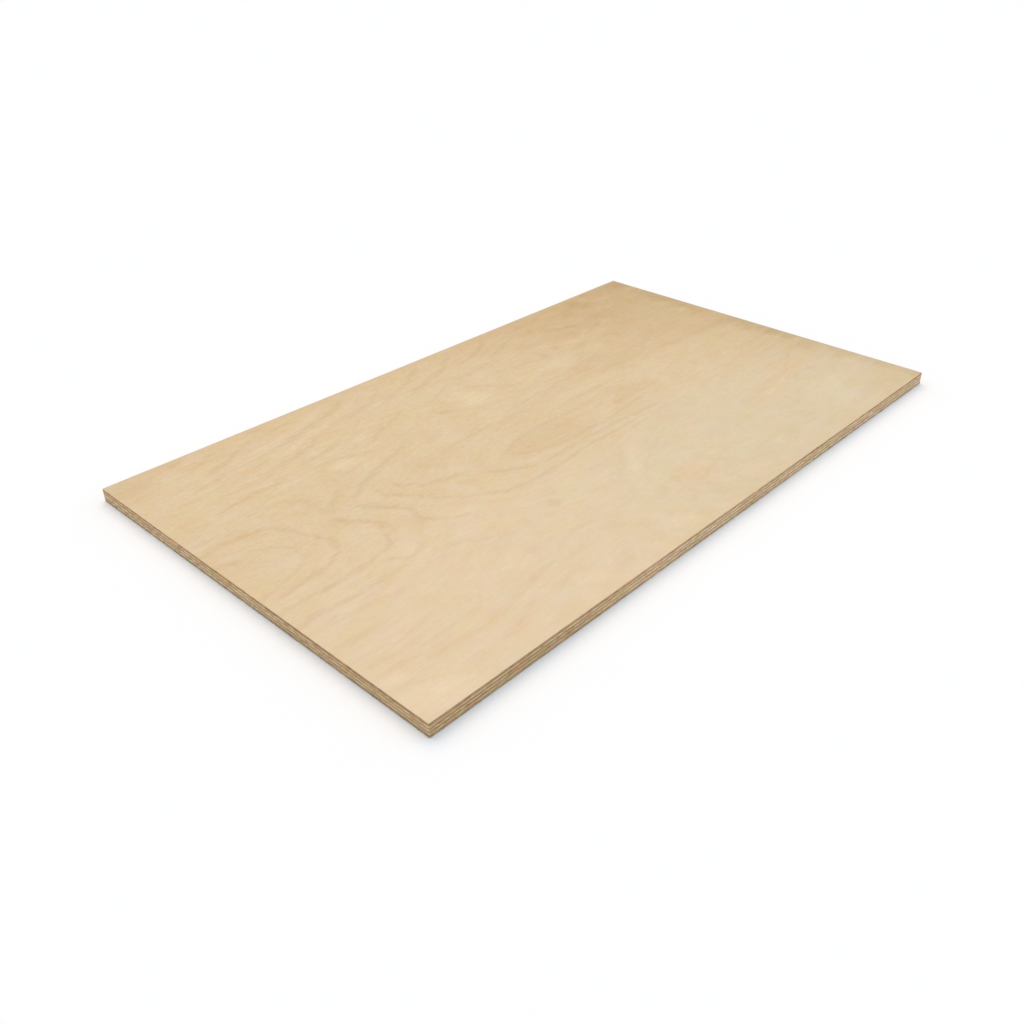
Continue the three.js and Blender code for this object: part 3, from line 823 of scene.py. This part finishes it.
def makeEdge(look):
    made, tree, shader = newMaterial(look["name"])
    x, y, z = sheetPlace(tree)
    plus, minus, times, timesPlus, above, size = sumsOf(
        tree, "ADD", "SUBTRACT", "MULTIPLY", "MULTIPLY_ADD", "GREATER_THAN", "ABSOLUTE")
    amounts, shown, heights = sawnEdge["amounts"], sawnEdge["shows"], sawnEdge["heights"]
    share = addNode(tree, "ShaderNodeAttribute", attribute_name="veneerShare").outputs["Fac"]
    # 1 on the two short sides
    isEnd = above(minus(size(x), halfLength), minus(size(y), halfWidth))
    isLong = minus(1.0, isEnd)
    along = plus(times(x, isLong), times(y, isEnd))
    side = plus(calc(tree, "SIGN", x), times(calc(tree, "SIGN", y), 2.0))
    endGrain = isEnd if look["grainAlongX"] else isLong      # 1 where end grain shows

    def noise(name, start=along):
        sizes, seed, *rest = sawnEdge["noises"][name]
        sizes = (*sizes, sawnEdge["sideGap"])
        return grainNoise(tree, start, z, side, sizes, look["seed"] + seed, *rest)

    streaks = noise("streaks")
    flecks = ramp(tree, noise("flecks"), *shown["flecks"])
    pores = ramp(tree, noise("pores"), *shown["pores"])
    ringWave = timesPlus(noise("ringDrift"), sawnEdge["ringsPerNoise"],
                         times(share, sawnEdge["ringsPerVeneer"]))
    rings = ramp(tree, calc(tree, "FRACT", ringWave), *shown["rings"])
    checkNoise = noise("checks", timesPlus(z, sawnEdge["checkSlant"], along))
    checkDepth = ramp(tree, share, *sawnEdge["checkDepth"])
    checks = times(ramp(tree, checkNoise, *shown["checks"]), checkDepth)

    wood = blend(tree, endGrain, fromHex(look["longGrain"]), fromHex(look["endGrain"]))
    patches, blotches = noise("patches"), noise("blotches")
    longTone = timesPlus(minus(streaks, 0.5), amounts["streaks"], times(flecks, amounts["flecks"]))
    endTone = plus(times(pores, amounts["pores"]),
                   plus(times(rings, amounts["rings"]), times(checks, amounts["checks"])))
    tone = plus(times(longTone, minus(1.0, endGrain)), times(endTone, endGrain))
    fromCorner = plus(plus(x, halfLength), plus(y, halfWidth))
    isAway = plus(times(isEnd, above(x, 0.0)), times(isLong, above(y, 0.0)))
    even = timesPlus(isAway, sawnEdge["evenAway"], 1.0)
    coarser = timesPlus(isEnd, sawnEdge["endCoarser"],
                        ramp(tree, fromCorner, *sawnEdge["coarser"], smooth=False))
    coarser = times(coarser, even)
    tone = swing(tree, patches, amounts["patches"], tone)
    tone = timesPlus(swing(tree, blotches, amounts["blotches"]), coarser, tone)
    wide = times(swing(tree, noise("wide"), amounts["wide"]), even)
    tone = timesPlus(wide, ramp(tree, fromCorner, *sawnEdge["wider"], smooth=False), tone)
    # thin paler lines along the fibres, partly pale fibres and partly painted glints
    paleFibresAndGlints = ramp(tree, noise("paleFibresAndGlints"), *shown["paleFibresAndGlints"])
    tone = timesPlus(paleFibresAndGlints, amounts["paleFibresAndGlints"], tone)
    # the saw burnt both sides a little towards one corner
    burnt = times(ramp(tree, fromCorner, *sawnEdge["burnt"]),
                  timesPlus(isEnd, sawnEdge["endBurnt"], 1.0))
    # on the ends the lowest long band is browner, and two of the crossbands are paler
    low, lowEnd, high, highEnd, amount = look["uneven"]
    uneven = times(ramp(tree, z, high, highEnd, amount, 0.0), ramp(tree, z, low, lowEnd))
    tone = timesPlus(uneven, isEnd, tone)
    # the bands differ more on the ends and away from the near corner
    clearer = timesPlus(isEnd, sawnEdge["endClearer"], ramp(tree, fromCorner, *sawnEdge["clearer"]))
    tone = timesPlus(clearer, look["stripe"], tone)
    for dimmer in sawnEdge["dimmer"]:
        tone = plus(ramp(tree, fromCorner, *dimmer), tone)
    wood = tinted(tree, wood, plus(tone, burnt), sawnEdge["toneLean"])
    # redder and bluer stretches, the same through all the layers
    hueSizes = (*sawnEdge["hueSizes"], sawnEdge["sideGap"])
    for seed, amount, lean in sawnEdge["hues"]:
        drift = grainNoise(tree, along, z, side, hueSizes, seed, 1.0)
        wood = tinted(tree, wood, times(swing(tree, drift, amount), even), lean)
    # painted light: the lowest few millimetres of every edge are paler and less yellow, as if lit
    # by the white floor
    rise, lean = sawnEdge["paintedFloorBounce"]
    wood = tinted(tree, wood, ramp(tree, z, *rise), lean)
    # the two ends are a little bluer towards the bottom
    rise, lean = sawnEdge["endLowerTint"]
    wood = tinted(tree, wood, times(ramp(tree, z, *rise), isEnd), lean)
    # glue soaked into the veneer beside each glue line
    lowShare, highShare, dark = sawnEdge["soaked"]
    nearGlue = calc(tree, "MAXIMUM", ramp(tree, share, 0.0, lowShare, 1.0, 0.0),
                    ramp(tree, share, highShare, 1.0))
    wood = blend(tree, times(nearGlue, dark), wood, fromHex(look["dark"]))
    gaps = ramp(tree, noise("gaps"), *shown["gaps"])
    amount, colour = sawnEdge["gap"]
    wood = blend(tree, times(gaps, amount), wood, fromHex(colour))
    # painted contact shade: the lowest millimetre of the edge, where the sheet meets the floor, is
    # darkened
    rise, colour = sawnEdge["paintedContactShade"]
    wood = blend(tree, ramp(tree, z, *rise), wood, fromHex(colour))

    height = timesPlus(pores, times(endGrain, heights["pores"]),
                       times(noise("saw"), heights["saw"]))
    height = timesPlus(times(checks, endGrain), heights["checks"], height)
    height = timesPlus(streaks, heights["streaks"], height)
    height = timesPlus(gaps, heights["gaps"], height)
    dress(tree, shader, wood, ramp(tree, streaks, *sawnEdge["roughness"], smooth=False),
          relief(tree, height, *sawnEdge["relief"]))
    return made


glueFilm = {"thin": "#8a6240", "thick": "#4f3322", "noise": ((7, 7, 0.8), 91.0, 4.0, 0.65),
            "thickens": (0.3, 0.65), "roughness": (0.3, 0.7, 0.65, 0.4), "relief": (0.5, 0.05)}


def makeGlue():
    made, tree, shader = newMaterial("glueFilm")
    x, y, z = sheetPlace(tree)
    spread = grainNoise(tree, x, y, z, *glueFilm["noise"])
    colour = blend(tree, ramp(tree, spread, *glueFilm["thickens"]), fromHex(glueFilm["thin"]),
                   fromHex(glueFilm["thick"]))
    dress(tree, shader, colour, ramp(tree, spread, *glueFilm["roughness"]),
          relief(tree, spread, *glueFilm["relief"]))
    return made


veneerRim = {
    "step": 1.6 * mm,           # along the sawn edge
    "levels": 8,                # rows of faces up the sawn edge of one veneer
    "filmLevels": 2,
    "arrisShare": 0.5,          # how much of an outer veneer's rows goes round its arris
    "faceArris": 0.48 * mm,
    "backArris": 0.2 * mm,
    "cornerEase": 0.2 * mm,     # how blunt the four upright corners are
    "margin": 7 * mm,           # inside it the glued faces are flat
    "wave": 0.16 * mm,          # how far a glue line wanders up and down
    "waveLength": 45 * mm,
    "setBack": 0.12 * mm,       # how far the saw leaves a veneer short of its neighbours
    "filmSetBack": 0.11 * mm,
    "waveNoise": (3.0, 0.6),    # detail and roughness
    "waveShows": (0.2, 0.8, -1.0, 1.0),
    "waveSeed": 7.3,            # from one glue line to the next
    "roughNoise": (4.0, 0.65),
    "roughShows": (0.3, 0.75),
    "roughScale": 90.0,         # how often the set-back stretches come, and how thin they are
    "roughRise": 14.0,
    "roughSeed": 3.1,           # from one veneer to the next
    "filmSeed": 50.0,
    "sharpFrom": 50,            # degrees between two faces
    "finishFrom": 0.5,          # how far up a face looks that has the finish of a broad side
    "levelFrom": 0.995,         # and one that is shaded flat
    "joinWithin": 0.001 * mm,
}


def veneerTree(name, levels):
    # a slab with a closely divided sawn edge: its glued faces wander with the glue lines they lie
    # against, its edge stands back a little here and there, and its outer face has an eased arris
    tree, given, done = newGroup(name, "GeometryNodeTree", {
        "Float": ("Length", "Width", "Underside", "Thickness", "Step", "Margin", "Wave Below",
                  "Wave Above", "Wave Length", "Set Back", "Arris", "Arris Share", "Corner Ease",
                  "Outer Side", "Line Below", "Line Above", "Seed"),
        "Material": ("Top Finish", "Bottom Finish", "Edge Finish"),
    }, ("Geometry", "Geometry"))
    plus, minus, times, over = sumsOf(tree, "ADD", "SUBTRACT", "MULTIPLY", "DIVIDE")
    larger, smaller, above, size = sumsOf(tree, "MAXIMUM", "MINIMUM", "GREATER_THAN", "ABSOLUTE")

    def position():
        return partsOf(tree, tree.nodes.new("GeometryNodeInputPosition").outputs[0])

    # the outline, extruded in equal rows, with one more ring of faces inside each broad face
    outline = addNode(tree, "GeometryNodeCurvePrimitiveQuadrilateral",
                      {"Width": given["Length"], "Height": given["Width"]})
    around = times(plus(given["Length"], given["Width"]), 2.0)
    steps = calc(tree, "ROUND", over(around, given["Step"]))
    divided = addNode(tree, "GeometryNodeResampleCurve",
                      {"Curve": outline.outputs[0], "Count": steps}).outputs[0]
    sole = addNode(tree, "GeometryNodeFillCurve", {"Curve": divided}, mode="NGONS").outputs[0]
    rise = over(given["Thickness"], float(levels))

    def extruded(mesh, selection, distance):
        made = addNode(tree, "GeometryNodeExtrudeMesh",
                       {"Mesh": mesh, "Selection": selection, "Offset Scale": distance,
                        "Individual": False}, mode="FACES")
        return made.outputs["Mesh"], made.outputs["Top"]

    def pulledToMargin(mesh, selection):
        x, y, z = position()

        def within(value, length):
            limit = minus(over(length, 2.0), given["Margin"])
            return larger(smaller(value, limit), times(limit, -1.0))

        moved = point(tree, within(x, given["Length"]), within(y, given["Width"]), z)
        return addNode(tree, "GeometryNodeSetPosition",
                       {"Geometry": mesh, "Selection": selection, "Position": moved}).outputs[0]

    mesh, top = sole, True
    for _ in range(levels):
        mesh, top = extruded(mesh, top, rise)
    mesh, top = extruded(mesh, top, 0.0)
    mesh = pulledToMargin(mesh, top)
    lower, lowerTop = extruded(sole, True, 0.0)
    lower = pulledToMargin(lower, lowerTop)
    lower = addNode(tree, "GeometryNodeFlipFaces", {"Mesh": lower}).outputs[0]
    joined = tree.nodes.new("GeometryNodeJoinGeometry")
    tree.links.new(mesh, joined.inputs[0])
    tree.links.new(lower, joined.inputs[0])
    closed = addNode(tree, "GeometryNodeMergeByDistance",
                     {"Geometry": joined.outputs[0], "Distance": veneerRim["joinWithin"]})

    x, y, z = position()
    nearly = 0.01 * mm
    onX = above(size(x), minus(over(given["Length"], 2.0), nearly))
    onY = above(size(y), minus(over(given["Width"], 2.0), nearly))
    onRim = larger(onX, onY)
    share = over(z, given["Thickness"])

    # the rows crowd together in the arris, a quarter round; an upside-down slab has it below
    isBelow = calc(tree, "LESS_THAN", given["Outer Side"], 0.0)
    fromGlue = size(minus(share, isBelow))
    bodyShare = minus(1.0, given["Arris Share"])
    straight = smaller(over(fromGlue, bodyShare), 1.0)
    turn = times(over(larger(minus(fromGlue, bodyShare), 0.0), given["Arris Share"]), math.pi / 2)
    climbed = plus(times(straight, minus(given["Thickness"], given["Arris"])),
                   times(given["Arris"], calc(tree, "SINE", turn)))
    level = size(minus(climbed, times(isBelow, given["Thickness"])))
    eased = times(given["Arris"], minus(1.0, calc(tree, "COSINE", turn)))

    def lineWave(lineNumber, amount):
        noise = noiseAt(tree, "4D", point(tree, x, y, lineNumber), *veneerRim["waveNoise"],
                        Scale=over(1.0, given["Wave Length"]),
                        W=times(lineNumber, veneerRim["waveSeed"]))
        upAndDown = ramp(tree, noise, *veneerRim["waveShows"], smooth=False)
        return times(times(upAndDown, amount), onRim)

    below = lineWave(given["Line Below"], given["Wave Below"])
    higher = lineWave(given["Line Above"], given["Wave Above"])
    wander = plus(times(below, minus(1.0, share)), times(higher, share))
    height = plus(plus(level, given["Underside"]), wander)

    # the saw leaves some stretches a little further back
    spot = point(tree, x, y, times(z, veneerRim["roughRise"]))
    rough = noiseAt(tree, "4D", spot, *veneerRim["roughNoise"], Scale=veneerRim["roughScale"],
                    W=given["Seed"])
    dips = ramp(tree, rough, *veneerRim["roughShows"], 0.0, given["Set Back"])
    corner = times(times(onX, onY), given["Corner Ease"])
    inset = plus(plus(eased, dips), corner)

    def pulledIn(value, onSide):
        return minus(value, times(times(calc(tree, "SIGN", value), onSide), inset))

    moved = point(tree, pulledIn(x, onX), pulledIn(y, onY), height)
    marked = addNode(tree, "GeometryNodeStoreNamedAttribute",
                     {"Geometry": closed.outputs[0], "Name": "veneerShare", "Value": share},
                     data_type="FLOAT", domain="POINT")
    geometry = addNode(tree, "GeometryNodeSetPosition",
                       {"Geometry": marked.outputs[0], "Position": moved}).outputs[0]

    # smooth round the rim, flat and sharp-edged on the two broad faces
    def compared(operation, first, second):
        return addNode(tree, "FunctionNodeCompare", {0: first, 1: second}, data_type="FLOAT",
                       operation=operation).outputs[0]

    faceUp = partsOf(tree, tree.nodes.new("GeometryNodeInputNormal").outputs[0])[2]
    isTop = compared("GREATER_THAN", faceUp, veneerRim["finishFrom"])
    isBottom = compared("LESS_THAN", faceUp, -veneerRim["finishFrom"])
    isLevel = compared("GREATER_THAN", size(faceUp), veneerRim["levelFrom"])
    angle = tree.nodes.new("GeometryNodeInputMeshEdgeAngle").outputs[0]
    isSharp = compared("GREATER_THAN", angle, math.radians(veneerRim["sharpFrom"]))
    shadings = ((True, True, "FACE"), (isLevel, False, "FACE"), (isSharp, False, "EDGE"))
    for chosen, isSmooth, domain in shadings:
        geometry = addNode(tree, "GeometryNodeSetShadeSmooth",
                           {"Geometry": geometry, "Selection": chosen, "Shade Smooth": isSmooth},
                           domain=domain).outputs[0]

    geometry = addNode(tree, "GeometryNodeRealizeInstances", {"Geometry": geometry}).outputs[0]
    finishes = ((True, "Edge Finish"), (isTop, "Top Finish"), (isBottom, "Bottom Finish"))
    for chosen, finish in finishes:
        geometry = addNode(tree, "GeometryNodeSetMaterial",
                           {"Geometry": geometry, "Selection": chosen,
                            "Material": given[finish]}).outputs[0]
    tree.links.new(geometry, done)
    return tree


def growSlab(name, tree, values):
    grower = bpy.data.objects.new(name + "Grower", bpy.data.meshes.new(name + "Seed"))
    bpy.context.scene.collection.objects.link(grower)
    modifier = grower.modifiers.new(tree.name, "NODES")
    modifier.node_group = tree
    for item in tree.interface.items_tree:
        if item.in_out == "INPUT" and item.name in values:
            modifier[item.identifier] = values[item.name]
    view = bpy.context.evaluated_depsgraph_get()
    mesh = bpy.data.meshes.new_from_object(grower.evaluated_get(view), depsgraph=view)
    bpy.data.objects.remove(grower)
    mesh.name = name
    slab = bpy.data.objects.new(name, mesh)
    bpy.context.scene.collection.objects.link(slab)
    report(f"{name}: {len(mesh.polygons)} faces")
    return slab


rimInputs = {"Step": veneerRim["step"], "Margin": veneerRim["margin"],
             "Wave Length": veneerRim["waveLength"], "Corner Ease": veneerRim["cornerEase"]}


def makeVeneers(finishes):
    tree = veneerTree("veneerSlab", veneerRim["levels"])
    lastPlace = len(layers) - 1
    for place, node in enumerate(layers):
        low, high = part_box(node)
        outerSide = {0: -1.0, lastPlace: 1.0}.get(place, 0.0)
        band = finishes["outer" if outerSide else "crossband" if place % 2 else "longBand"]
        slab = growSlab(node + "_wood", tree, {
            **rimInputs, "Length": high.x - low.x, "Width": high.y - low.y,
            "Underside": low.z, "Thickness": high.z - low.z,
            "Wave Below": veneerRim["wave"] if place > 0 else 0.0,
            "Wave Above": veneerRim["wave"] if place < lastPlace else 0.0,
            "Set Back": veneerRim["setBack"], "Outer Side": outerSide,
            "Arris": {0: veneerRim["backArris"], lastPlace: veneerRim["faceArris"]}.get(place, 0.0),
            "Arris Share": veneerRim["arrisShare"] if outerSide else 0.0,
            "Line Below": float(place), "Line Above": float(place + 1),
            "Seed": place * veneerRim["roughSeed"],
            "Top Finish": finishes["face"] if outerSide > 0 else band,
            "Bottom Finish": finishes["back"] if outerSide < 0 else band,
            "Edge Finish": band,
        })
        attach(slab, "root")
        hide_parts(node)
        node if outerSide else "crossband" if place % 2 else "long_band"


def makeGlueFilms(finish):
    tree = veneerTree("glueSlab", veneerRim["filmLevels"])
    for place in range(len(layers) - 1):
        low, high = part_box(layers[place])
        film = growSlab(f"glue_line_{place + 1}", tree, {
            **rimInputs, "Length": high.x - low.x - 2 * veneerRim["filmSetBack"],
            "Width": high.y - low.y - 2 * veneerRim["filmSetBack"],
            "Underside": high.z, "Thickness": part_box(layers[place + 1])[0].z - high.z,
            "Wave Below": veneerRim["wave"], "Wave Above": veneerRim["wave"],
            "Line Below": float(place + 1), "Line Above": float(place + 1),
            "Seed": veneerRim["filmSeed"] + place,
            "Top Finish": finish, "Bottom Finish": finish, "Edge Finish": finish,
        })
        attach(film, "root")


cameraView = {
    "place": (-0.9218, -0.8260, 0.6708),
    "heading": 42.743,  # degrees from +X towards +Y
    "tilt": 31.233,     # degrees below level
    "roll": -0.256,
    "lens": 35.763,
    "shift": (-0.02691, -0.02567),
}


def makeCamera():
    data = bpy.data.cameras.new("camera")
    camera = bpy.data.objects.new("camera", data)
    bpy.context.scene.collection.objects.link(camera)
    data.lens = cameraView["lens"]
    data.shift_x, data.shift_y = cameraView["shift"]
    data.clip_start = 0.01
    camera.location = cameraView["place"]
    aim = Euler((math.radians(90 - cameraView["tilt"]), 0,
                 math.radians(cameraView["heading"] - 90)))
    roll = Matrix.Rotation(math.radians(cameraView["roll"]), 3, "Z")
    camera.rotation_euler = (aim.to_matrix() @ roll).to_euler()
    bpy.context.scene.camera = camera


studio = {
    "sky": (0.31, 1.235),      # at the horizon and overhead
    "skyColour": (0.79, 0.898, 1.0),
    "key": 0.333,
    "keyColour": (1.0, 0.631, 0.284),
    "keyHeading": 61.0,     # degrees from +X towards +Y, where the light comes from
    "keyHeight": 54.5,
    "keySpread": 54.0,
    "floorColour": 0.85,    # what the floor gives back to the sheet
    "floorSeen": (0.992, 0.994, 0.998),       # and how pale it looks
    "floorReach": 30.0,
}


def seenDirectly(tree):
    path = tree.nodes.new("ShaderNodeLightPath").outputs
    return calc(tree, "MAXIMUM", path["Is Camera Ray"],
                calc(tree, "MAXIMUM", path["Is Glossy Ray"], path["Is Transmission Ray"]))


def makeLight():
    scene = bpy.context.scene
    world = bpy.data.worlds.new("studio")
    world.use_nodes = True
    scene.world = world
    tree = world.node_tree
    background = tree.nodes["Background"]
    background.inputs["Color"].default_value = (*studio["skyColour"], 1.0)
    upwards = partsOf(tree, tree.nodes.new("ShaderNodeTexCoord").outputs["Generated"])[2]
    tree.links.new(ramp(tree, upwards, 0.0, 1.0, *studio["sky"], smooth=False),
                   background.inputs["Strength"])
    white = addNode(tree, "ShaderNodeBackground", {"Color": (1, 1, 1, 1), "Strength": 1.0})
    mixed = addNode(tree, "ShaderNodeMixShader", {0: seenDirectly(tree), 1: background.outputs[0],
                                                  2: white.outputs[0]})
    tree.links.new(mixed.outputs[0], tree.nodes["World Output"].inputs[0])

    data = bpy.data.lights.new("key", "SUN")
    data.energy = studio["key"] * math.pi
    data.color = studio["keyColour"]
    data.angle = math.radians(studio["keySpread"])
    sun = bpy.data.objects.new("key", data)
    scene.collection.objects.link(sun)
    sun.rotation_euler = (math.radians(90 - studio["keyHeight"]), 0,
                          math.radians(studio["keyHeading"] + 90))


def makeGround():
    mesh = bpy.data.meshes.new("floor")
    reach = studio["floorReach"]
    corners = ((-1, -1), (1, -1), (1, 1), (-1, 1))
    mesh.from_pydata([(reach * x, reach * y, 0) for x, y in corners], [], [(0, 1, 2, 3)])
    ground = bpy.data.objects.new("floor", mesh)
    bpy.context.scene.collection.objects.link(ground)
    made = bpy.data.materials.new("paleFloor")
    made.use_nodes = True
    tree = made.node_tree
    tree.nodes.clear()
    seen = seenDirectly(tree)
    matte = addNode(tree, "ShaderNodeBsdfDiffuse", {"Color": (*[studio["floorColour"]] * 3, 1.0)})
    pale = addNode(tree, "ShaderNodeBsdfDiffuse", {"Color": (*studio["floorSeen"], 1.0)})
    chosen = addNode(tree, "ShaderNodeMixShader",
                     {0: seen, 1: matte.outputs[0], 2: pale.outputs[0]})
    output = tree.nodes.new("ShaderNodeOutputMaterial")
    tree.links.new(chosen.outputs[0], output.inputs[0])
    mesh.materials.append(made)


makeCamera()
makeLight()
makeGround()
report("camera, light and floor are set")
makeVeneers({"face": makeFaceFigure(), "back": makeBackFigure(), "outer": makeEdge(outerEdge),
             "longBand": makeEdge(longBandEdge), "crossband": makeEdge(crossbandEdge)})
makeGlueFilms(makeGlue())
bpy.context.scene.view_settings.view_transform = "Standard"


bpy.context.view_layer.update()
report("sizes are written")
